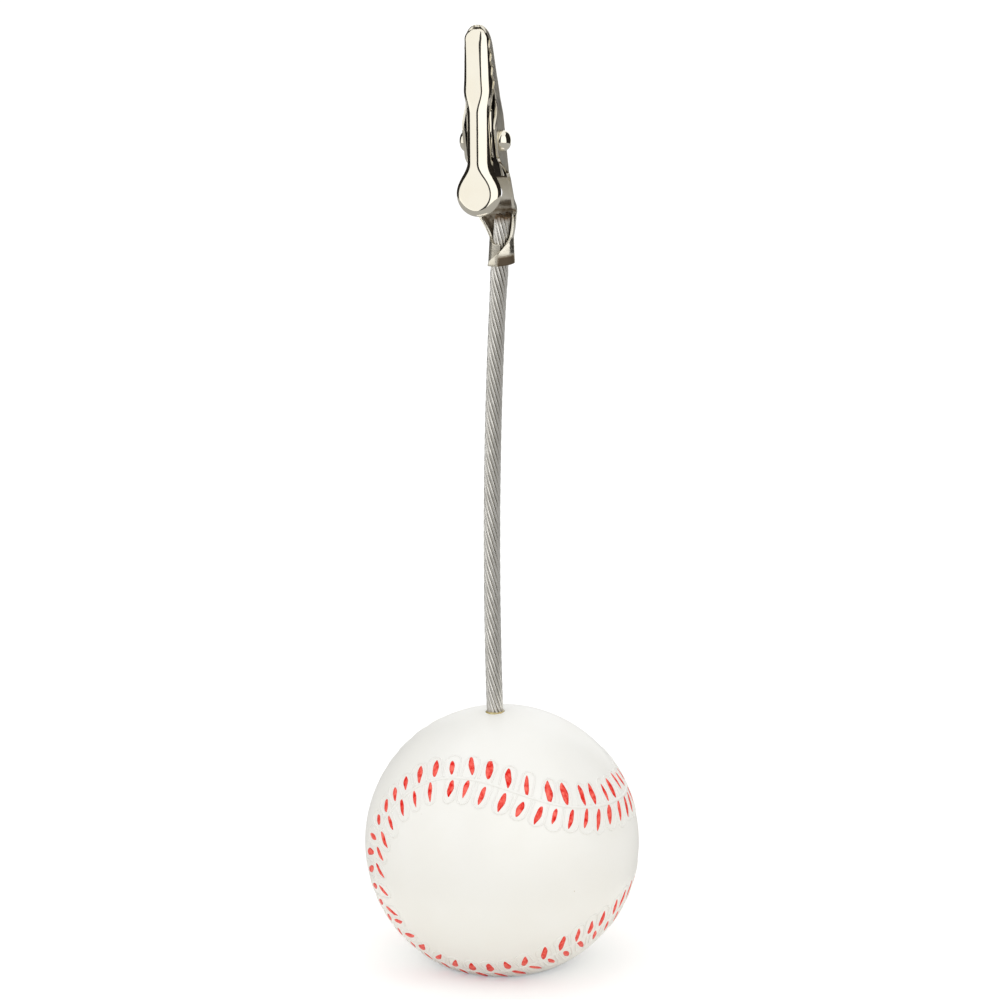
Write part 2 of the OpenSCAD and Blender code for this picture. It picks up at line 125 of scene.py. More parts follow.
def soft_box(name, watts, azimuth, height, distance):
    """A square soft light aimed at the middle of the holder; azimuth 0 is at the camera."""
    lamp = bpy.data.lights.new(name, "AREA")
    lamp.shape = "RECTANGLE"
    lamp.size = lamp.size_y = box_size
    lamp.energy = watts
    box = bpy.data.objects.new(name, lamp)
    a = math.radians(azimuth)
    box.location = (distance * math.sin(a), -distance * math.cos(a), height)
    box.rotation_euler = (aim_at - box.location).to_track_quat("-Z", "Y").to_euler()
    box.visible_glossy = False
    scene.collection.objects.link(box)


soft_box("front_box", 0.6, -45, 0.6, 0.8)
soft_box("top_box", 0.6, 180, 1.0, 0.1)
soft_box("right_box", 0.3, 50, 0.35, 0.8)


def card_paint(name, level):
    """The plain paint of a card: black, or lighter by the light that it gives itself."""
    mat = bpy.data.materials.new(name)
    mat.use_nodes = True
    shader = mat.node_tree.nodes["Principled BSDF"]
    shader.inputs["Base Color"].default_value = (0.02, 0.018, 0.016, 1)
    shader.inputs["Specular IOR Level"].default_value = 0
    shader.inputs["Emission Color"].default_value = (1, 1, 1, 1)
    shader.inputs["Emission Strength"].default_value = level
    return mat


card_at = 0.6


def bent_card(name, paint, start, end, foot, head):
    """A card bent round the holder from one azimuth to another, which only metal sees; its
    foot and its head are each a distance and a height."""
    bm = bmesh.new()
    a = math.radians(start)
    ends = [bm.verts.new((distance * math.sin(a), -distance * math.cos(a), height))
            for distance, height in (foot, head)]
    bmesh.ops.spin(bm, geom=ends + [bm.edges.new(ends)], cent=(0, 0, 0), axis=(0, 0, 1),
                   angle=math.radians(end - start), steps=max(2, int(abs(end - start) / 3)))
    card = add_object(name, bm, paint)
    card.visible_camera = False
    card.visible_diffuse = False
    card.visible_transmission = False
    card.visible_shadow = False


black_paint = card_paint("black_card", 0)
white_paint = card_paint("white_card", 1.16)
bent_card("left_card", black_paint, -97, -165, (card_at, 0), (card_at, 0.8))
bent_card("edge_card", card_paint("grey_card", 0.025), -18, -34, (card_at, 0), (card_at, 2.5))
bent_card("back_card", black_paint, 72, 146, (card_at, 0), (card_at, 0.8))
bent_card("bright_card", white_paint, -18, 72, (card_at, 0), (card_at, 0.9))
# One lies flat just over the table, all round
bent_card("table_card", card_paint("table_card", 0.4), -180, 180, (0.04, 0.002), (0.59, 0.002))


# Ball: one moulded hard ball in off-white satin plastic, with a flat foot and a drilled
# hole in its top for the stalk.
ball_mm = 22.5
ball_r = ball_mm * MM
ball_mid = Vector((0, 0, 19.9 * MM))
hole_x, hole_y, hole_z = -1.14, -0.8, 42.357
hole_at = Vector((hole_x * MM, hole_y * MM, hole_z * MM))
hole_tilt = Matrix.Rotation(math.radians(-1.93), 4, "Y")


def make_piece(name, bm, material, body, replaces=(), angle=None):
    """Turns a bmesh into a piece with its finish, its body and the node it stands for."""
    piece = add_object(name, bm, material)
    piece.data.polygons.foreach_set("use_smooth", [True] * len(piece.data.polygons))
    if angle is not None:
        piece.data.set_sharp_from_angle(angle=math.radians(angle))
    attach(piece, body)
    if replaces:
        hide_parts(*replaces)
    return piece


def new_group(name, sockets_in, sockets_out):
    """An empty shader group with float or colour sockets."""
    group = bpy.data.node_groups.new(name, "ShaderNodeTree")
    for title, kind, value in sockets_in:
        made = group.interface.new_socket(name=title, in_out="INPUT", socket_type=kind)
        if value is not None:
            made.default_value = value
    for title, kind in sockets_out:
        group.interface.new_socket(name=title, in_out="OUTPUT", socket_type=kind)
    return group, group.nodes.new("NodeGroupInput"), group.nodes.new("NodeGroupOutput")


# Fine unevenness of a surface, shared by every finish: small dents for a bump and slow
# blotches for colour and gloss, both in millimetres.
uneven, uneven_in, uneven_out = new_group(
    "uneven_surface",
    [("Dent size mm", "NodeSocketFloat", 1.0), ("Blotch size mm", "NodeSocketFloat", 8.0),
     ("Blotch low", "NodeSocketFloat", 0.0), ("Blotch high", "NodeSocketFloat", 1.0)],
    [("Dents", "NodeSocketFloat"), ("Blotches", "NodeSocketFloat")])
uneven_at = uneven.nodes.new("ShaderNodeTexCoord")
for title, out, detail in (("Dent size mm", "Dents", 3.0), ("Blotch size mm", "Blotches", 4.0)):
    per_metre = uneven.nodes.new("ShaderNodeMath")
    per_metre.operation = "DIVIDE"
    per_metre.inputs[0].default_value = 1000
    uneven.links.new(uneven_in.outputs[title], per_metre.inputs[1])
    grain = uneven.nodes.new("ShaderNodeTexNoise")
    grain.inputs["Detail"].default_value = detail
    uneven.links.new(uneven_at.outputs["Object"], grain.inputs["Vector"])
    uneven.links.new(per_metre.outputs[0], grain.inputs["Scale"])
    if out == "Dents":
        uneven.links.new(grain.outputs[0], uneven_out.inputs[out])
    else:
        spread = uneven.nodes.new("ShaderNodeMapRange")
        spread.inputs["From Min"].default_value = 0.35
        spread.inputs["From Max"].default_value = 0.65
        uneven.links.new(grain.outputs[0], spread.inputs["Value"])
        uneven.links.new(uneven_in.outputs["Blotch low"], spread.inputs["To Min"])
        uneven.links.new(uneven_in.outputs["Blotch high"], spread.inputs["To Max"])
        uneven.links.new(spread.outputs[0], uneven_out.inputs[out])


# Dirt and painted shade, shared by the metals: an uneven film where the "grime_and_shade"
# attribute is over zero, which turns black where it is thick, and a polish where the attribute is
# under zero. The film stands for real stains in some places and for painted shade and painted dark
# reflections in others.
dirt_and_shade, overlay_in, overlay_out = new_group(
    "dirt_and_shade_film",
    [("Colour", "NodeSocketColor", None), ("Roughness", "NodeSocketFloat", 0.2),
     ("Dirt and shade", "NodeSocketFloat", 0.0), ("Film colour", "NodeSocketColor", None),
     ("Film roughness", "NodeSocketFloat", 0.6)],
    [("Colour", "NodeSocketColor"), ("Roughness", "NodeSocketFloat"),
     ("Metallic", "NodeSocketFloat")])
grain_scale, dirt_and_shade_gain = 1900, 1.7
film_starts, film_full = 0.75, 1.75
black_over, most_black = 0.75, 0.85
polish_share, film_metallic = 0.25, 0.3
overlay_at = dirt_and_shade.nodes.new("ShaderNodeTexCoord")
overlay_grain = dirt_and_shade.nodes.new("ShaderNodeTexNoise")
overlay_grain.inputs["Scale"].default_value = grain_scale
overlay_grain.inputs["Detail"].default_value = 5
dirt_and_shade.links.new(overlay_at.outputs["Object"], overlay_grain.inputs["Vector"])
overlay_sum = dirt_and_shade.nodes.new("ShaderNodeMath")
overlay_sum.operation = "MULTIPLY_ADD"
overlay_sum.inputs[1].default_value = dirt_and_shade_gain
dirt_and_shade.links.new(overlay_in.outputs["Dirt and shade"], overlay_sum.inputs[0])
dirt_and_shade.links.new(overlay_grain.outputs[0], overlay_sum.inputs[2])
overlay_mask = dirt_and_shade.nodes.new("ShaderNodeMapRange")
overlay_mask.inputs["From Min"].default_value = film_starts
overlay_mask.inputs["From Max"].default_value = film_full
dirt_and_shade.links.new(overlay_sum.outputs[0], overlay_mask.inputs["Value"])
overlay_tone = dirt_and_shade.nodes.new("ShaderNodeMix")
overlay_tone.data_type = "RGBA"
dirt_and_shade.links.new(overlay_mask.outputs[0], overlay_tone.inputs["Factor"])
dirt_and_shade.links.new(overlay_in.outputs["Colour"], overlay_tone.inputs["A"])
# The black of a thick film: painted shade in the clip's channel and on its bosses, stain with
# painted shade on the wire's cut ends
overlay_black = dirt_and_shade.nodes.new("ShaderNodeMapRange")
overlay_black.inputs["From Min"].default_value = black_over
overlay_black.inputs["To Max"].default_value = most_black
dirt_and_shade.links.new(overlay_in.outputs["Dirt and shade"], overlay_black.inputs["Value"])
dirt_and_shade_film = dirt_and_shade.nodes.new("ShaderNodeMix")
dirt_and_shade_film.data_type = "RGBA"
dirt_and_shade_film.inputs["B"].default_value = (0, 0, 0, 1)
dirt_and_shade.links.new(overlay_black.outputs[0], dirt_and_shade_film.inputs["Factor"])
dirt_and_shade.links.new(overlay_in.outputs["Film colour"], dirt_and_shade_film.inputs["A"])
dirt_and_shade.links.new(dirt_and_shade_film.outputs["Result"], overlay_tone.inputs["B"])
dirt_and_shade.links.new(overlay_tone.outputs["Result"], overlay_out.inputs["Colour"])
overlay_polish = dirt_and_shade.nodes.new("ShaderNodeMapRange")
overlay_polish.inputs["From Min"].default_value = -1
overlay_polish.inputs["From Max"].default_value = 0
overlay_polish.inputs["To Min"].default_value = polish_share
dirt_and_shade.links.new(overlay_in.outputs["Dirt and shade"], overlay_polish.inputs["Value"])
overlay_base = dirt_and_shade.nodes.new("ShaderNodeMath")
overlay_base.operation = "MULTIPLY"
dirt_and_shade.links.new(overlay_in.outputs["Roughness"], overlay_base.inputs[0])
dirt_and_shade.links.new(overlay_polish.outputs[0], overlay_base.inputs[1])
overlay_rough = dirt_and_shade.nodes.new("ShaderNodeMix")
dirt_and_shade.links.new(overlay_mask.outputs[0], overlay_rough.inputs["Factor"])
dirt_and_shade.links.new(overlay_base.outputs[0], overlay_rough.inputs["A"])
dirt_and_shade.links.new(overlay_in.outputs["Film roughness"], overlay_rough.inputs["B"])
dirt_and_shade.links.new(overlay_rough.outputs["Result"], overlay_out.inputs["Roughness"])
overlay_metal = dirt_and_shade.nodes.new("ShaderNodeMapRange")
overlay_metal.inputs["To Min"].default_value = 1
overlay_metal.inputs["To Max"].default_value = film_metallic
dirt_and_shade.links.new(overlay_mask.outputs[0], overlay_metal.inputs["Value"])
dirt_and_shade.links.new(overlay_metal.outputs[0], overlay_out.inputs["Metallic"])


def lay_dirt_and_shade(mat, film, film_rough):
    """Lays the film of stains and painted shade over a metal finish."""
    nodes, links = mat.node_tree.nodes, mat.node_tree.links
    shader = nodes["Principled BSDF"]
    where = nodes.new("ShaderNodeAttribute")
    where.attribute_name = "grime_and_shade"
    layer = nodes.new("ShaderNodeGroup")
    layer.node_tree = dirt_and_shade
    layer.inputs["Film colour"].default_value = (*film, 1)
    layer.inputs["Film roughness"].default_value = film_rough
    links.new(shader.inputs["Base Color"].links[0].from_socket, layer.inputs["Colour"])
    links.new(shader.inputs["Roughness"].links[0].from_socket, layer.inputs["Roughness"])
    links.new(where.outputs["Fac"], layer.inputs["Dirt and shade"])
    links.new(layer.outputs["Colour"], shader.inputs["Base Color"])
    links.new(layer.outputs["Roughness"], shader.inputs["Roughness"])
    links.new(layer.outputs["Metallic"], shader.inputs["Metallic"])


def mark_dirt_and_shade(piece, rule):
    """Writes the "grime_and_shade" attribute of a piece, the mask of its stains and painted shade,
    from a rule on each point and its normal.
    """
    layer = piece.data.attributes.new("grime_and_shade", "FLOAT", "POINT")
    normals = piece.data.vertex_normals
    layer.data.foreach_set("value", [min(1.0, max(-1.0, rule(v.co, normals[v.index].vector)))
                                     for v in piece.data.vertices])


def finish(name, colour, metallic, rough, dents, blotches, other_colour=None, extra=()):
    """A finish: a colour that drifts a little, blotchy gloss and a fine bump."""
    mat = bpy.data.materials.new(name)
    mat.use_nodes = True
    nodes, links = mat.node_tree.nodes, mat.node_tree.links
    shader = nodes["Principled BSDF"]
    shader.inputs["Metallic"].default_value = metallic
    surface = nodes.new("ShaderNodeGroup")
    surface.node_tree = uneven
    surface.inputs["Dent size mm"].default_value = dents[0]
    surface.inputs["Blotch size mm"].default_value = blotches
    tone = nodes.new("ShaderNodeMix")
    tone.data_type = "RGBA"
    tone.inputs["A"].default_value = (*colour, 1)
    tone.inputs["B"].default_value = (*(other_colour or colour), 1)
    links.new(surface.outputs["Blotches"], tone.inputs["Factor"])
    links.new(tone.outputs["Result"], shader.inputs["Base Color"])
    gloss = nodes.new("ShaderNodeMapRange")
    gloss.inputs["To Min"].default_value, gloss.inputs["To Max"].default_value = rough
    links.new(surface.outputs["Blotches"], gloss.inputs["Value"])
    links.new(gloss.outputs[0], shader.inputs["Roughness"])
    bump = nodes.new("ShaderNodeBump")
    bump.inputs["Distance"].default_value = dents[1] * MM
    bump.inputs["Strength"].default_value = 1
    links.new(surface.outputs["Dents"], bump.inputs["Height"])
    links.new(bump.outputs[0], shader.inputs["Normal"])
    for socket, value in extra:
        shader.inputs[socket].default_value = value
    return mat


ball_mat = finish("ball_plastic", (0.905, 0.9, 0.865), 0, (0.34, 0.44), (0.8, 0.01), 9,
                  (0.89, 0.882, 0.84), [("Coat Weight", 0.1), ("Coat Roughness", 0.25)])
# Dust specks: rare small dots, a little darker than the plastic
speck_cells_a_metre, speck_edge, speck_core, speck_rarity = 330, 0.05, 0.02, 0.72
speck_nodes, speck_links = ball_mat.node_tree.nodes, ball_mat.node_tree.links
speck_at = speck_nodes.new("ShaderNodeTexCoord")
speck_cells = speck_nodes.new("ShaderNodeTexVoronoi")
speck_cells.inputs["Scale"].default_value = speck_cells_a_metre
speck_links.new(speck_at.outputs["Object"], speck_cells.inputs["Vector"])
speck_dot = speck_nodes.new("ShaderNodeMapRange")
speck_dot.inputs["From Min"].default_value = speck_edge
speck_dot.inputs["From Max"].default_value = speck_core
speck_links.new(speck_cells.outputs["Distance"], speck_dot.inputs["Value"])
speck_pick = speck_nodes.new("ShaderNodeMath")
speck_pick.operation = "GREATER_THAN"
speck_pick.inputs[1].default_value = speck_rarity
speck_links.new(speck_cells.outputs["Color"], speck_pick.inputs[0])
speck_mask = speck_nodes.new("ShaderNodeMath")
speck_mask.operation = "MULTIPLY"
speck_links.new(speck_dot.outputs[0], speck_mask.inputs[0])
speck_links.new(speck_pick.outputs[0], speck_mask.inputs[1])
speck_mix = speck_nodes.new("ShaderNodeMix")
speck_mix.data_type = "RGBA"
speck_mix.inputs["B"].default_value = (0.62, 0.55, 0.45, 1)
speck_shader = speck_nodes["Principled BSDF"]
speck_links.new(speck_shader.inputs["Base Color"].links[0].from_socket, speck_mix.inputs["A"])
speck_links.new(speck_mask.outputs[0], speck_mix.inputs["Factor"])
speck_links.new(speck_mix.outputs["Result"], speck_shader.inputs["Base Color"])

ball_bm = bmesh.new()
bmesh.ops.create_icosphere(ball_bm, subdivisions=6, radius=ball_r,
                           matrix=Matrix.Translation(ball_mid))
whole = ball_bm.verts[:] + ball_bm.edges[:] + ball_bm.faces[:]
cut = bmesh.ops.bisect_plane(ball_bm, geom=whole, plane_co=(0, 0, 0), plane_no=(0, 0, 1),
                             clear_inner=True)
rim = [e for e in cut["geom_cut"] if isinstance(e, bmesh.types.BMEdge)]
bmesh.ops.contextual_create(ball_bm, geom=rim)
foot_edges = [e for e in ball_bm.edges if all(abs(v.co.z) < 1e-7 for v in e.verts)
              and any(len(f.verts) > 4 for f in e.link_faces)]
foot_edge = 0.25 * MM
bmesh.ops.bevel(ball_bm, geom=foot_edges, offset=foot_edge, offset_type="OFFSET", affect="EDGES",
                segments=3, profile=0.5, material=-1, clamp_overlap=True)
# The drilled hole: the cap of the ball inside it goes, and its rim is drawn down the wall
axis_up = hole_tilt @ Vector((0, 0, 1))
hole_r = 1.6 * MM
lip_depth, wall_depth = 0.15, 11.8


def from_hole(point):
    """How far a point is up the axis of the hole, and its way out from that axis."""
    out = point - hole_at
    up = out.dot(axis_up)
    return up, out - axis_up * up


inside = [f for f in ball_bm.faces if f.calc_center_median().z > ball_mid.z
          and from_hole(f.calc_center_median())[1].length < hole_r]
bmesh.ops.delete(ball_bm, geom=inside, context="FACES")
rim = [e for e in ball_bm.edges if e.is_boundary]
for v in {v for e in rim for v in e.verts}:
    up, out = from_hole(v.co)
    v.co = hole_at + out.normalized() * hole_r + axis_up * up
for depth in (lip_depth, wall_depth):
    drawn = bmesh.ops.extrude_edge_only(ball_bm, edges=rim)["geom"]
    verts = [g for g in drawn if isinstance(g, bmesh.types.BMVert)]
    for v in verts:
        v.co -= axis_up * depth * MM
    rim = [e for e in drawn if isinstance(e, bmesh.types.BMEdge) and e.is_boundary]
bmesh.ops.contextual_create(ball_bm, geom=rim)
bmesh.ops.recalc_face_normals(ball_bm, faces=ball_bm.faces)
make_piece("moulded_ball", ball_bm, ball_mat, "base", ("ball",), 45)


# Seam and stitch loops: a thin ridge along the seam, and a low U shaped ridge round every
# stitch mark, all moulded with the ball in the same plastic.
seam_steps = 720
stitch_count = 84
seam_turn = (Matrix.Rotation(math.radians(-2.7), 3, "Y")
             @ Matrix.Rotation(math.radians(4.25), 3, "X"))


def seam_at(t):
    """The seam on a ball of radius 1, which t goes round from 0 to 720 degrees."""
    a = math.radians(90 - 67.6 * math.cos(math.radians(t)))
    b = math.radians(t / 2 + 26.35 * math.sin(math.radians(2 * t))
                     + 0.55 * math.sin(math.radians(6 * t)))
    v = Vector((math.sin(a) * math.cos(b), math.sin(a) * math.sin(b), math.cos(a)))
    return seam_turn @ Vector((-v.z, -v.x, v.y))


seam_points = [seam_at(i * 720 / seam_steps) for i in range(seam_steps + 1)]
seam_run = [0.0]
for p, q in zip(seam_points, seam_points[1:]):
    seam_run.append(seam_run[-1] + (q - p).length * ball_mm)
seam_l = seam_run[-1]
stitch_pitch = seam_l / stitch_count


def beside_seam(s, off, lift):
    """A point at s mm along the seam and off mm beside it, lift mm above the ball."""
    s = s % seam_l
    i = min(int(s / seam_l * seam_steps), seam_steps - 1)
    while seam_run[i] > s:
        i -= 1
    while seam_run[i + 1] < s:
        i += 1
    t = (i + (s - seam_run[i]) / (seam_run[i + 1] - seam_run[i])) * 720 / seam_steps
    c = seam_at(t)
    along = (seam_at(t + 0.5) - seam_at(t - 0.5)).normalized()
    away = c.cross(along)
    # Near the 72nd stitch the moulded seam wanders off its curve
    off += 1.1 * math.exp(-((s / stitch_pitch - 72) / 3.6) ** 2)
    n = c * math.cos(off / ball_mm) + away * math.sin(off / ball_mm)
    return ball_mid + n * (ball_mm + lift) * MM


# The marks that the front shows were brushed on one by one, so each has its own shift along
# the seam, distance off it, length, width and slant (mm and degrees).
front_marks = {
    1: {0: (0.4, 1.9, 2.0, 1.2, -12), 1: (0.4, 1.9, 2.3, 1.2, -18),
        2: (0.15, 2.0, 2.7, 1.0, -12), 3: (-0.1, 2.2, 2.7, 0.9, -9),
        4: (-0.15, 2.15, 3.4, 0.95, -7), 5: (-0.25, 2.2, 3.3, 1.0, -2),
        6: (-0.4, 1.9, 2.7, 0.85, 8), 7: (-0.3, 2.5, 3.5, 0.95, 19),
        8: (-0.35, 2.5, 3.7, 1.25, 12), 9: (0.05, 1.95, 3.5, 1.1, 17),
        10: (0.3, 1.65, 3.8, 0.85, 16), 11: (1.15, 1.9, 3.8, 1.4, 15),
        12: (1.1, 2.1, 3.8, 1.5, 15), 13: (1.7, 2.05, 3.6, 1.05, 8),
        14: (1.0, 2.1, 3.7, 1.2, 1), 15: (1.2, 1.85, 3.1, 0.8, 3),
        16: (0.45, 2.15, 3.6, 1.35, 3), 17: (0.6, 2.6, 3.4, 0.8, 12)},
    -1: {0: (-0.1, 2.1, 2.9, 1.2, 32), 1: (-0.2, 1.8, 2.8, 1.1, 21),
         2: (-0.55, 2.0, 3.3, 1.05, 18), 3: (-0.5, 1.6, 2.9, 0.85, 12),
         4: (-0.1, 1.5, 3.2, 0.9, 16), 5: (-0.3, 1.9, 3.1, 0.75, 8),
         6: (-0.15, 1.9, 3.6, 0.85, 5), 7: (0.75, 1.9, 3.0, 1.15, 6),
         8: (0.35, 1.8, 3.2, 0.9, 3), 9: (0.3, 2.3, 3.3, 0.9, 2), 10: (0.65, 2.35, 3.4, 1.0, 2),
         11: (0.6, 2.45, 2.8, 1.0, 8), 12: (0.5, 2.5, 3.3, 0.9, 10),
         13: (0.0, 2.0, 2.7, 0.75, 9), 14: (-0.2, 2.05, 3.3, 0.8, 13),
         15: (-0.35, 1.8, 3.3, 0.8, 16), 16: (-0.75, 2.25, 3.6, 0.9, 18),
         17: (-0.7, 1.8, 3.2, 1.2, 16), 18: (-0.3, 1.8, 3.3, 1.0, 18),
         67: (-0.45, 1.9, 3.4, 1.0, 0), 68: (0.05, 1.7, 3.4, 1.1, 8),
         69: (-0.3, 1.6, 3.2, 1.0, 6), 70: (-0.6, 1.8, 3.4, 0.8, 10),
         71: (-0.7, 2.1, 3.6, 1.1, 19), 72: (-0.45, 1.9, 3.8, 1.05, 19),
         79: (0.3, 1.7, 3.6, 1.3, 0), 80: (0.1, 1.95, 3.4, 1.2, 14),
         82: (-1.4, 1.9, 3.5, 1.2, 30), 83: (-0.65, 2.0, 2.7, 1.1, 28)}}


def stitch_place(k, side):
    """How far along the seam a stitch sits, in mm, and its own shift off that place."""
    s = k * stitch_pitch + (7.7 if side > 0 else 0.2)
    s += (-2.1 if side > 0 else 2.2) * math.sin(math.radians(720 * s / seam_l - 5.5))
    return s + front_marks[side][k][0] if k in front_marks[side] else s


def made_real(source):
    """The shape of an object with its modifiers made real, as a bmesh; the object goes."""
    ready = source.evaluated_get(bpy.context.evaluated_depsgraph_get())
    mesh = bpy.data.meshes.new_from_object(ready)
    bm = bmesh.new()
    bm.from_mesh(mesh)
    bpy.data.objects.remove(source)
    bpy.data.meshes.remove(mesh)
    return bm


def tubes(name, lines, closed, radius, sides):
    """A bmesh of round tubes along lines of points; a point may have a fourth value, its
    share of the radius."""
    curve = bpy.data.curves.new(name, "CURVE")
    curve.dimensions = "3D"
    curve.bevel_depth = radius * MM
    curve.bevel_resolution = max(0, sides // 2 - 2)
    curve.use_fill_caps = not closed
    for line in lines:
        spline = curve.splines.new("POLY")
        spline.points.add(len(line) - 1)
        for point, p in zip(spline.points, line):
            point.co = (p[0], p[1], p[2], 1)
            point.radius = p[3] if len(p) > 3 else 1
        spline.use_cyclic_u = closed
    holder = bpy.data.objects.new(name, curve)
    scene.collection.objects.link(holder)
    bm = made_real(holder)
    bpy.data.curves.remove(curve)
    bmesh.ops.recalc_face_normals(bm, faces=bm.faces)
    return bm


def flatten_at_foot(bm):
    """Lifts what would stand out below the flat foot to its level."""
    for v in bm.verts:
        v.co.z = max(v.co.z, 0)


# Radius of each ridge and how far its middle lies over the ball, in mm
seam_ridge_r, seam_lift = 0.3, -0.14
loop_r, loop_lift = 0.155, -0.01
seam_line = [beside_seam(i * seam_l / 500, 0, seam_lift) for i in range(500)]
seam_bm = tubes("seam_line", [seam_line], True, seam_ridge_r, 8)
flatten_at_foot(seam_bm)
make_piece("seam_ridge", seam_bm, ball_mat, "base")

random.seed(11)
loop_lines = []
loop_foot, mark_off = 0.35, 1.9
for side in (1, -1):
    for k in range(stitch_count):
        s0 = stitch_place(k, side)
        half = random.uniform(1.12, 1.28)
        reach = random.uniform(4.1, 4.5)
        lean = random.uniform(0.0, 0.12)
        line = []
        for i in range(15):
            if i < 4:
                u, v = -half, loop_foot + (reach - half - loop_foot) * i / 4
            elif i < 11:
                a = math.pi * (i - 4) / 6
                u, v = -half * math.cos(a), reach - half + half * math.sin(a)
            else:
                u, v = half, loop_foot + (reach - half - loop_foot) * (14 - i) / 4
            line.append(beside_seam(s0 + u - lean * (v - mark_off), side * v, loop_lift))
        loop_lines.append(line)
loop_bm = tubes("loops", loop_lines, False, loop_r, 6)
flatten_at_foot(loop_bm)
make_piece("stitch_loops", loop_bm, ball_mat, "base")


# Stitch marks: red paint brushed by hand into the loops, thicker in the middle, each with
# its own width, length and slant; those that the photo doesn't show get them at random.
paint_mat = finish("red_paint", (0.76, 0.008, 0.003), 0, (0.3, 0.45), (0.35, 0.03), 0.8,
                   (1.0, 0.18, 0.14), [("Specular IOR Level", 0.1)])
random.seed(5)
paint_high, paint_deep, mark_slant = 0.095, 0.1, 17
marks_bm = bmesh.new()
for side in (1, -1):
    for k in range(stitch_count):
        s0 = stitch_place(k, side)
        _, off, length, width, slant = front_marks[side].get(k, (
            0, random.uniform(1.8, 2.2), random.uniform(2.9, 3.7), random.uniform(0.85, 1.3),
            mark_slant + random.uniform(-10, 8)))
        lean = math.tan(math.radians(slant))
        belly = random.uniform(0.05, 0.4) if side < 0 else random.uniform(-0.25, 0.2)
        wave, size = random.uniform(0, 6), random.uniform(0.06, 0.16)
        made = bmesh.ops.create_uvsphere(marks_bm, u_segments=8, v_segments=10, radius=1)
        for v in made["verts"]:
            x, h, y = v.co
            rough = 1 + size * math.sin(4.3 * y + wave + (1.7 if x > 0 else 0))
            w = off + y * length * 0.5
            u = x * width * 0.505 * rough * (1 - belly * y) * (1 - 0.25 * y * y)
            lift = h * (paint_high if h > 0 else paint_deep)
            v.co = beside_seam(s0 + u - lean * (w - off), side * w, lift)
flatten_at_foot(marks_bm)
bmesh.ops.recalc_face_normals(marks_bm, faces=marks_bm.faces)
make_piece("painted_stitches", marks_bm, paint_mat, "base", ("stitch_marks",))


# Glue: a ring of hardened amber glue in the mouth of the hole, with an uneven edge that
# creeps up the wires.
glue_mat = finish("amber_glue", (0.42, 0.3, 0.1), 0, (0.12, 0.3), (0.5, 0.05), 0.7,
                  (0.66, 0.52, 0.26), [("Coat Weight", 0.5), ("Subsurface Weight", 0.15),
                                       ("Subsurface Scale", 0.002)])
glue_bm = bmesh.new()
profile = [(1.33, -1.2), (1.59, -1.2), (1.6, -0.16), (1.56, -0.1), (1.5, -0.04), (1.42, 0.03),
           (1.36, 0.1), (1.3, 0.12)]
points = [glue_bm.verts.new((r * MM, 0, z * MM)) for r, z in profile]
edges = [glue_bm.edges.new(pair) for pair in zip(points, points[1:] + points[:1])]
bmesh.ops.spin(glue_bm, geom=points + edges, cent=(0, 0, 0), axis=(0, 0, 1),
               angle=2 * math.pi, steps=72, use_merge=True)
bmesh.ops.remove_doubles(glue_bm, verts=glue_bm.verts, dist=1e-7)
for v in glue_bm.verts:
    if v.co.z > -0.2 * MM:
        swell = noise.noise(Vector((v.co.x, v.co.y, 0)).normalized() * 2.1)
        v.co.z *= 1 + 0.7 * swell
        v.co.xy *= 1 + 0.03 * swell
    v.co = hole_at + hole_tilt.to_3x3() @ v.co
bmesh.ops.recalc_face_normals(glue_bm, faces=glue_bm.faces)
make_piece("hole_glue", glue_bm, glue_mat, "base", ("glue_ring",))


# Stalk: a stiff strand of bright steel wires, twelve outside, six under them and one in
# the middle, laid left-handed, bent to a slight bow and cut off raw at the top.
stalk_foot, crimp_z, stalk_end = 30.7, 117.6, 125.65
bow_mid, bow_x, bow_y = 71.0, 1700, 1760
bow_start = (hole_z - bow_mid) ** 2 / bow_x
wire_r, core_foot = 0.268, 100


def ramp(a, b, x):
    """From 0 at a to 1 at b."""
    return min(1.0, max(0.0, (x - a) / (b - a)))


def stalk_at(z):
    """The middle of the stalk at height z."""
    return Vector((hole_x - bow_start + (z - bow_mid) ** 2 / bow_x,
                   hole_y - max(0, z - hole_z) ** 2 / bow_y, z)) * MM


steel_mat = finish("bright_wire", (0.86, 0.84, 0.79), 1, (0.2, 0.36), (0.12, 0.01), 2.5,
                   (0.72, 0.7, 0.65))
random.seed(3)
wire_lines = []
# Each layer of wires: its radius, their number, where they start and the length of a turn;
# only the outer layer is seen lower down
for ring_r, count, first, turn in ((1.085, 12, stalk_foot, -21.7),
                                   (0.55, 6, core_foot, -16), (0, 1, core_foot, 1)):
    for w in range(count):
        end = stalk_end - random.uniform(0.0, 0.9)
        steps = int((end - first) / 0.9)
        line = []
        for i in range(steps + 1):
            z = first + (end - first) * i / steps
            a = 2 * math.pi * (w / count + (z - stalk_foot) / turn)
            fan = 1 + 0.1 * max(0, 1 - abs(z - 115.5) / 5) ** 1.5 if ring_r > 1 else 1
            out = Vector((ring_r * fan * math.cos(a), ring_r * fan * math.sin(a), 0))
            line.append(stalk_at(z) + out * MM)
        wire_lines.append(line)
wire_bm = tubes("wires", wire_lines, False, wire_r, 10)
# On the wires the film is stain with painted shade on the cut ends, and glue over the hole
lay_dirt_and_shade(steel_mat, (0.16, 0.1, 0.05), 0.6)
wires = make_piece("stranded_wire", wire_bm, steel_mat, "base", ("wire_stalk",), 40)


def stalk_stain_and_shade(point, normal):
    """Brown to black on the cut ends, stain with painted shade, and a trace of glue just over the
    hole.
    """
    z = point.z / MM
    return 0.9 * ramp(123.9, 125.4, z) + 0.35 * (1 - ramp(42.6, 43.6, z))


mark_dirt_and_shade(wires, stalk_stain_and_shade)


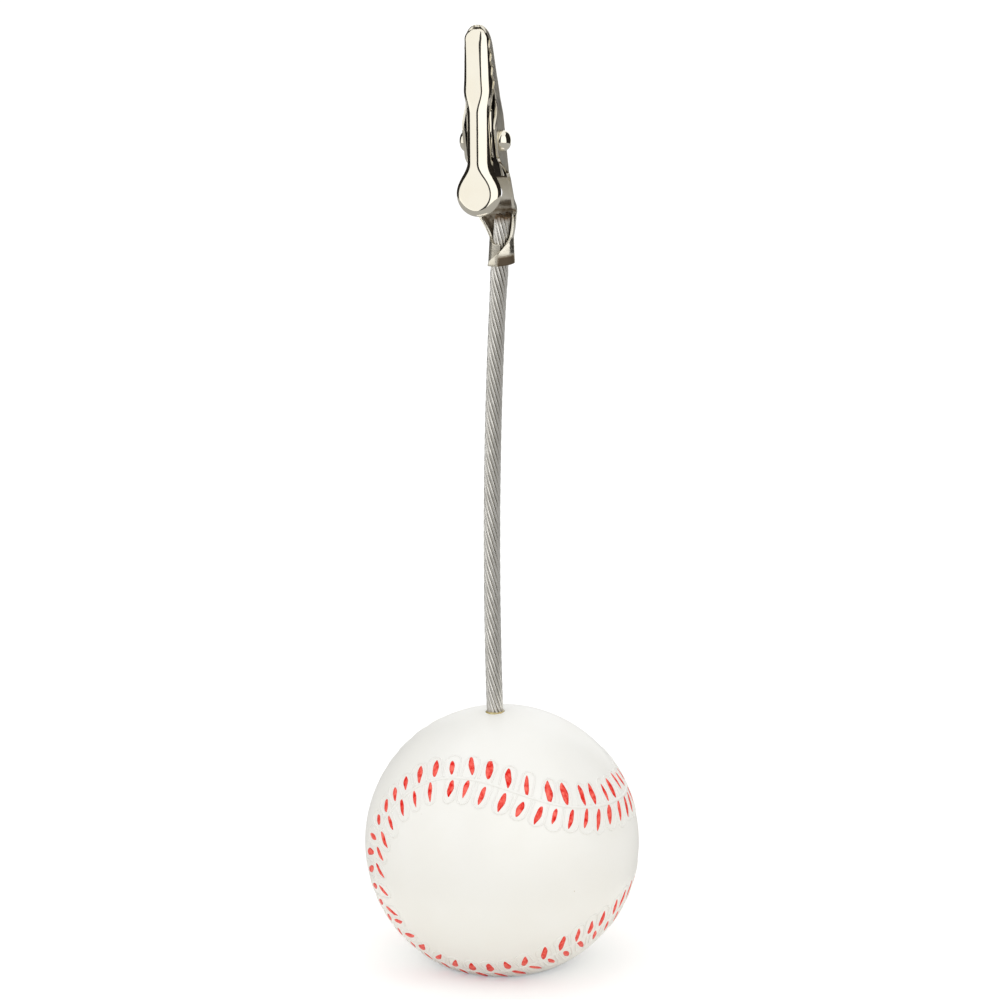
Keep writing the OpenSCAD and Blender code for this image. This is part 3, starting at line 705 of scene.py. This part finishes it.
# Clip, fixed half: a strip of 0.45 mm sheet, cut, folded and nickel plated. From the
# bottom: two ears rolled round the wire, an open funnel, a flat tail with a round hole,
# the pivot walls and the toothed channel of the nose.
sheet_t = 0.45
# In the clip's own frame z runs up the clip and y from its front to its back. The heights
# are the upper ends of the crimp, the funnel, the tail, the mouth and the teeth, and the
# full length; lean is the stalk's lean inside the crimp.
pivot_y, pivot_z = -1.62, 20.3
jaw_back, jaw_web, crimp_web = 1.28, 1.055, 1.655
lean_x, lean_y = 0.15018, 0.02385
rolled_z, funnel_z, ear_z, mouth_z, teeth_top, nose_z = 4.3, 8.4, 13.4, 27.6, 36.2, 38.6
fixed_tip, moving_tip = 38.3, 37.8
bite_tip = jaw_back - 1.35
bite_slope = math.tan(math.radians(7.4))
tooth_pitch, tooth_half = 2.15, 0.35
in_clip = (Matrix.Translation(Vector((-0.345217, -4.01678, crimp_z)) * MM)
           @ Matrix.Rotation(math.radians(-19), 4, "Z") @ Matrix.Rotation(math.radians(-4), 4, "Y")
           @ Matrix.Rotation(math.radians(5), 4, "X"))


def ease(a, b, x):
    """From 0 at a to 1 at b, with a soft start and end."""
    u = ramp(a, b, x)
    return u * u * (3 - 2 * u)


def mix(p, q, u):
    """From p where u is 0 to q where it is 1."""
    return p * (1 - u) + q * u


def rounding(tip, length, z):
    """From 0 to 1 over the last length below a tip, as a quarter of a circle does."""
    return 1 - math.sqrt(1 - ramp(tip - length, tip, z) ** 2)


def bite(z):
    """Where the two rows of teeth meet."""
    return bite_tip - (nose_z - z) * bite_slope


def teeth(z):
    """The toothed edge: straight flanks up and down from the bite."""
    u = (z - mouth_z) / tooth_pitch - 0.5
    return bite(z) + tooth_half * (1 - 4 * abs(u - math.floor(u) - 0.5))


# Shares of a half section that the web and the bend end at
web_end, bend_end = 0.2, 0.5


def channel(w, r, low, h, y, way, at):
    """A point of a half channel section: at goes from 0 on the web to 1 on the free edge.
    The bend has radius r across, and as much of it in depth as a wall of height low has."""
    least = sheet_t / 2 + 0.04
    r, deep = max(least, min(r, 0.95 * w)), max(least, min(r, 0.9 * low))
    h = max(h, deep + 0.1)
    if at < web_end:
        return Vector(((w - r) * at / web_end, y))
    if at < bend_end:
        a = math.radians(90 * (at - web_end) / (bend_end - web_end))
        return Vector((w - r + r * math.sin(a), y + way * deep * (1 - math.cos(a))))
    return Vector((w, y + way * (deep + (h - deep) * (at - bend_end) / (1 - bend_end))))


# Outside widths of the fixed half in mm: at its tail, at its pivot walls, and on its nose at
# the mouth and at the last tooth
tail_w, walls_w, mouth_w, nose_w = 6.4, 5.7, 5.1, 4.2
# Its free edge on the pivot walls and at the mouth, its walls' height in the funnel and at
# the funnel's top, and its bend's radius in the tail and over it
walls_free, mouth_free = -3.57, -1.33
funnel_h, funnel_top_h = 1.7, 0.85
tail_bend, walls_bend = 0.35, 0.75


def fixed_point(side, at, z):
    """Middle of the fixed half's sheet at height z, in the clip's own frame."""
    web = (crimp_web + lean_y * min(z, funnel_z)
           - (crimp_web - jaw_web + lean_y * funnel_z) * ease(funnel_z + 0.2, funnel_z + 2, z))
    web = mix(web, bite_tip + 0.35, rounding(fixed_tip, 1.4, z))
    w = mix(mix(tail_w, walls_w, ease(funnel_z + 0.5, ear_z + 2, z)),
            mix(mouth_w, nose_w, ramp(mouth_z, teeth_top, z)),
            ease(mouth_z - 3.9, mouth_z, z)) / 2
    w -= 1.5 * rounding(fixed_tip, 3.2, z) + sheet_t / 2
    if z > mouth_z:
        free = min(teeth(z), web - 0.2)
    else:
        up = mix(walls_free, mouth_free, ease(pivot_z + 2.3, mouth_z - 0.8, z))
        free = mix(jaw_back - 0.85, up, ease(ear_z + 0.4, ear_z + 5, z))
    h = web - free
    if z <= funnel_z:
        h = mix(funnel_h, funnel_top_h, ease(funnel_z - 1.1, funnel_z + 0.1, z))
    r = mix(tail_bend, walls_bend, ease(ear_z, ear_z + 1.5, z))
    flat = channel(w, r, h, h, web, -1, at)
    flat.x *= side
    if z >= funnel_z:
        return flat
    # The two ears of the crimp: how far round each goes, in degrees, and how far out. The
    # right one laps over the left one
    out = crimp_web
    if side > 0:
        ear = 209 - 98 * ramp(0.7, rolled_z, z)
        out += mix(0.8, 0.25, min(z, rolled_z) / rolled_z) * ease(20, 115, ear * at)
    else:
        ear = 195 - 35 * ramp(3.268, 3.368, z) - 50 * ramp(3.368, rolled_z, z)
    a = math.radians(ear * at)
    rolled = Vector((side * out * math.sin(a) + lean_x * z, out * math.cos(a) + lean_y * z))
    return rolled.lerp(flat, ramp(rolled_z, rolled_z + 0.9 * (funnel_z - rolled_z), z))


def stations(*parts):
    """Heights from a list of (start, end, count), without repeats; the last part is the
    round tip and gets closer to the end."""
    out = []
    for start, end, count in parts[:-1]:
        out += [start + (end - start) * i / count for i in range(count)]
    start, end, count = parts[-1]
    return out + [start + (end - start) * math.sin(math.pi / 2 * i / count)
                  for i in range(count + 1)]


def sheet_metal(heights, across, place):
    """A strip of sheet: a grid whose points are put in place, with a thickness and slightly
    rounded edges."""
    bm = bmesh.new()
    bmesh.ops.create_grid(bm, x_segments=2 * across, y_segments=len(heights) - 1, size=1)
    for v in bm.verts:
        i = round((v.co.x + 1) * across) - across
        z = heights[round((v.co.y + 1) / 2 * (len(heights) - 1))]
        p = place(1 if i >= 0 else -1, abs(i) / across, z)
        v.co = in_clip @ (Vector((p.x, p.y, p.z if len(p) > 2 else z)) * MM)
    bmesh.ops.remove_doubles(bm, verts=bm.verts, dist=1e-6)
    bmesh.ops.dissolve_degenerate(bm, dist=1e-7, edges=bm.edges)
    bmesh.ops.recalc_face_normals(bm, faces=bm.faces)
    bm.normal_update()
    strip = add_object("strip", bm)
    thick = strip.modifiers.new("thickness", "SOLIDIFY")
    thick.thickness = sheet_t * MM
    thick.offset = 0
    edge = strip.modifiers.new("edge", "BEVEL")
    edge.width = 0.06 * MM
    edge.segments = 2
    edge.limit_method = "ANGLE"
    edge.angle_limit = math.radians(50)
    return strip


def drill(strip, centre, along, radius):
    """Cuts a round hole through a strip; the bit has to go when the strip is made real."""
    bm = bmesh.new()
    turn = Vector((0, 0, 1)).rotation_difference(along).to_matrix().to_4x4()
    place = in_clip @ Matrix.Translation(Vector(centre) * MM) @ turn
    bmesh.ops.create_cone(bm, cap_ends=True, segments=48, radius1=radius * MM,
                          radius2=radius * MM, depth=20 * MM, matrix=place)
    bit = add_object("drill", bm)
    hole = strip.modifiers.new("hole", "BOOLEAN")
    hole.object = bit
    hole.solver = "EXACT"
    return bit


nickel_mat = finish("nickel_plate", (0.945, 0.9, 0.775), 1, (0.05, 0.09), (2.2, 0.008), 6,
                    (0.92, 0.865, 0.725))
dull_nickel_mat = finish("worn_nickel_plate", (0.9, 0.86, 0.75), 1, (0.28, 0.44),
                         (0.7, 0.02), 3, (0.72, 0.67, 0.55))
# On the moving half the film is painted shade and painted dark reflection; on the fixed half it is
# stain and painted shade
lay_dirt_and_shade(nickel_mat, (0.08, 0.06, 0.05), 0.35)
lay_dirt_and_shade(dull_nickel_mat, (0.13, 0.09, 0.05), 0.5)
fixed = sheet_metal(
    stations((0, 3.2, 8), (3.2, 3.45, 5), (3.45, funnel_z, 20), (funnel_z, ear_z, 16),
             (ear_z, 18.6, 22), (18.6, mouth_z, 24), (mouth_z, teeth_top, 16),
             (teeth_top, fixed_tip, 14)), 30, fixed_point)
bit = drill(fixed, (0, 1.2, funnel_z + 5 * 0.58), Vector((0, 1, 0)), 1.25)
fixed_bm = made_real(fixed)
bpy.data.objects.remove(bit)
fixed_half = make_piece("fixed_half", fixed_bm, dull_nickel_mat, "base",
                        ("fixed_jaw",), 38)
to_clip, to_clip_turn = in_clip.inverted(), in_clip.to_3x3().inverted()


def fixed_stain_and_shade(point, normal):
    """Painted shade: black in the channel round the spring. Brown film, stain with painted shade,
    in the funnel and round the wire's cut end, and darker brown on the outside of the crimp's
    lower end.
    The free edges and the crimp are rubbed bright."""
    p, n = to_clip @ point / MM, to_clip_turn @ normal
    inside = max(ramp(0.2, 0.6, -n.y) * ramp(0.5, 0.7, p.y),
                 ramp(0.2, 0.6, -n.x * math.copysign(1, p.x)))
    # Painted shade: the inner faces of the channel, from over the tail to below the mouth, go
    # black
    channel_shade = inside * ramp(ear_z + 0.1, ear_z + 0.4, p.z) * ramp(28, 26, p.z)
    # Stain with painted shade: brown on the inner faces round the wire's cut end and in the funnel
    cut_end = inside * 0.72 * ramp(7.5, 8.0, p.z) * (1 - ramp(8.3, 9.2, p.z))
    funnel = inside * 0.62 * ramp(3.6, 4.6, p.z) * (1 - ramp(7.4, 8.4, p.z))
    crimp = (0.85 * (1 - inside) * (1 - ramp(1.3, 1.9, p.z)) * ramp(0.2, 0.6, p.x)
             * ramp(0, -0.6, p.y))
    grime_and_shade = max(channel_shade, cut_end, funnel, crimp)
    free_edge = ramp(0.3, 0.5, -n.y) * ramp(0.6, 0.4, p.y) * ramp(13, 14, p.z)
    crimp_gloss = 0.6 * ramp(8.5, 7.5, p.z)
    return grime_and_shade if grime_and_shade > 0.05 else -max(free_edge, crimp_gloss)


mark_dirt_and_shade(fixed_half, fixed_stain_and_shade)


# Clip, moving half: the same plated sheet, folded to a channel with a toothed nose, a
# waist with a pressed boss on each side for the rivet, and a round thumb pad.
pad_z, pad_r, pad_rim = 9.5, 3.65, 1.6
pad_top = pad_z + pad_r
# Half widths at the waist, over it and at the last tooth, and the radii of the bend
waist_w, front_w, front_tip_w = 1.9, 2.32, 1.92
front_bend, waist_bend = 1.22, 1.6
boss_out = walls_w / 2 - sheet_t - 0.18 - waist_w
face_slope = math.tan(math.radians(15))


def face_line(z):
    """Where the outside of the face is at height z."""
    return jaw_back - 7.2 + (z - pivot_z) * face_slope


def boss_reach(y, z):
    """How far out a point of a wall is on its oval boss, with 1 at the boss's edge."""
    return math.hypot((z - pivot_z - 1) / 4.5, (y - pivot_y) / 3.0)


def moving_point(side, at, z):
    """Middle of the moving half's sheet at height z, in the clip's own frame."""
    # Below the pad's top, the section there swings down on both sides to round the pad
    fan = math.radians(90 * max(0, pad_top - z) / pad_r)
    z = max(z, pad_top)
    w = mix(pad_r, waist_w, (1 - math.cos(math.pi * ramp(0, pad_r * 1.3, z - pad_z - pad_r))) / 2)
    nose = ease(25.2, 28.8, z)
    w = mix(w, mix(front_w, front_tip_w, ramp(28.8, teeth_top, z)), nose)
    w -= 1.35 * rounding(moving_tip, 1.35, z) + sheet_t / 2
    waist = ease(ear_z + 1, ear_z + 4, z) - nose
    face = mix(face_line(z), bite_tip - 0.75, rounding(moving_tip, 0.9, z)) + sheet_t / 2
    low = mix(face_line(z) + pad_rim, bite(z) - 0.49, ease(ear_z + 1.6, pivot_z - 1, z))
    free = teeth(z) - 0.14 if z > mouth_z else low
    if abs(z - pivot_z) < 1.9:
        free = max(free, pivot_y + math.sqrt(1.9 ** 2 - (z - pivot_z) ** 2))
    r = min(mix(front_bend, waist_bend, waist), 2 * (low - face))
    p = channel(w, r, low - face, free - face, face, 1, at)
    if at > bend_end:
        p.x += boss_out * (1 - ease(0.84, 1, boss_reach(p.y, z))) * ease(bend_end, 0.6, at)
    down = p.x * math.sin(fan)
    return Vector((side * p.x * math.cos(fan), p.y - down * face_slope, z - down))


moving = sheet_metal(
    stations((9.5, 13.15, 24), (13.15, 15.8, 12), (15.8, 26.6, 80), (26.6, mouth_z, 4),
             (mouth_z, teeth_top, 32), (teeth_top, moving_tip, 18)), 60, moving_point)
moving_half = make_piece("moving_half", made_real(moving), nickel_mat, "jaw",
                         ("moving_jaw",), 38)


def moving_painted_shade(point, normal):
    """Painted shade: black inside the channel and on the bosses where the pivot walls lie against
    each other, and a painted dark reflection, a thin film, on the shoulder over the waist."""
    p, n = to_clip @ point / MM, to_clip_turn @ normal
    # Painted shade on the inner faces of the channel above the pad
    inside = max(ramp(0.2, 0.6, n.y) * ramp(1.2, 0.9, p.y - face_line(p.z)),
                 ramp(0.2, 0.6, -n.x * math.copysign(1, p.x))) * ramp(15, 17, p.z)
    # Painted shade on the outer face of each boss, the dark gap beside the fixed half's wall
    boss_shade = ((1 - ramp(1.0, 1.06, boss_reach(p.y, p.z)))
               * ramp(waist_w + 0.08, waist_w + 0.16, abs(p.x)) * ramp(0.8, 0.5, n.y))
    # Painted dark reflection on the side walls of the shoulder over the waist
    shoulder_dark_reflection = 0.45 * ease(24, 26.8, p.z) * ease(30, 27.2, p.z) * ramp(0.86, 0.99, abs(n.x))
    return max(inside, boss_shade, shoulder_dark_reflection)


mark_dirt_and_shade(moving_half, moving_painted_shade)


# Rivet: one plated pin through the four walls, with a domed head upset on each end; the
# left head is flatter.
pin_r, head_r, walls_out = 0.8, 1.66, 2.85
rivet_bm = bmesh.new()
for end, height in ((1, 1.4), (-1, 1.05)):
    profile = [(0, 2.0), (pin_r, 2.0), (pin_r, walls_out), (1.6, walls_out)]
    profile += [(head_r * math.cos(a) ** 0.8, walls_out + 0.05 + height * math.sin(a) ** 0.8)
                for a in [math.pi / 2 * i / 16 for i in range(17)]]
    points = [rivet_bm.verts.new((x * end * MM, 0, r * MM)) for r, x in profile]
    edges = [rivet_bm.edges.new(pair) for pair in zip(points, points[1:])]
    bmesh.ops.spin(rivet_bm, geom=points + edges, cent=(0, 0, 0), axis=(1, 0, 0),
                   angle=2 * math.pi, steps=48, use_merge=True)
bmesh.ops.create_cone(rivet_bm, cap_ends=True, segments=48, radius1=pin_r * MM,
                      radius2=pin_r * MM, depth=4.2 * MM,
                      matrix=Matrix.Rotation(math.pi / 2, 4, "Y"))
bmesh.ops.remove_doubles(rivet_bm, verts=rivet_bm.verts, dist=1e-7)
bmesh.ops.recalc_face_normals(rivet_bm, faces=rivet_bm.faces)
to_pivot = in_clip @ Matrix.Translation(Vector((0, pivot_y, pivot_z)) * MM)
bmesh.ops.transform(rivet_bm, matrix=to_pivot, verts=rivet_bm.verts)
make_piece("rivet", rivet_bm, nickel_mat, "base", ("pivot_rivet",), 40)


# Spring: hard steel wire coiled round the rivet. One leg lies down the back of the fixed
# half, and the other lies in the moving half and goes with it.
spring_mat = finish("spring_steel", (0.6, 0.57, 0.5), 1, (0.2, 0.4), (0.2, 0.01), 1.5,
                    (0.42, 0.39, 0.33))
spring_r, coil_r, coil_half, turns, turn_steps = 0.3, 1.35, 1.28, 4.5, 28


def in_clip_line(points):
    """A line of points in the clip's own frame, put in place."""
    return [in_clip @ (Vector(p) * MM) for p in points]


coil = []
for i in range(int(turns * turn_steps) + 1):
    u = i / (turns * turn_steps)
    a = math.radians(180 + 360 * turns * u)
    coil.append((mix(-coil_half, coil_half, u), pivot_y + coil_r * math.cos(a),
                 pivot_z + coil_r * math.sin(a)))
leg_y = jaw_web - sheet_t / 2 - 0.35
coil += [(coil_half + 0.03, leg_y - 0.32, 18.6), (coil_half + 0.3, leg_y - 0.1, 16.6),
         (coil_half + 0.5, leg_y, 14.1)]
coil_bm = tubes("coil", [in_clip_line(coil)], False, spring_r, 10)
make_piece("spring_coil", coil_bm, spring_mat, "base", ("jaw_spring",), 40)
leg_z = pivot_z - 5.6
leg = [(-coil_half, pivot_y - coil_r, pivot_z + 0.15),
       (-coil_half, pivot_y - coil_r, pivot_z - 0.1),
       (1.1 - coil_half, face_line(leg_z) + 0.85, leg_z)]
leg_bm = tubes("leg", [in_clip_line(leg)], False, spring_r, 10)
make_piece("spring_leg", leg_bm, spring_mat, "jaw", (), 40)
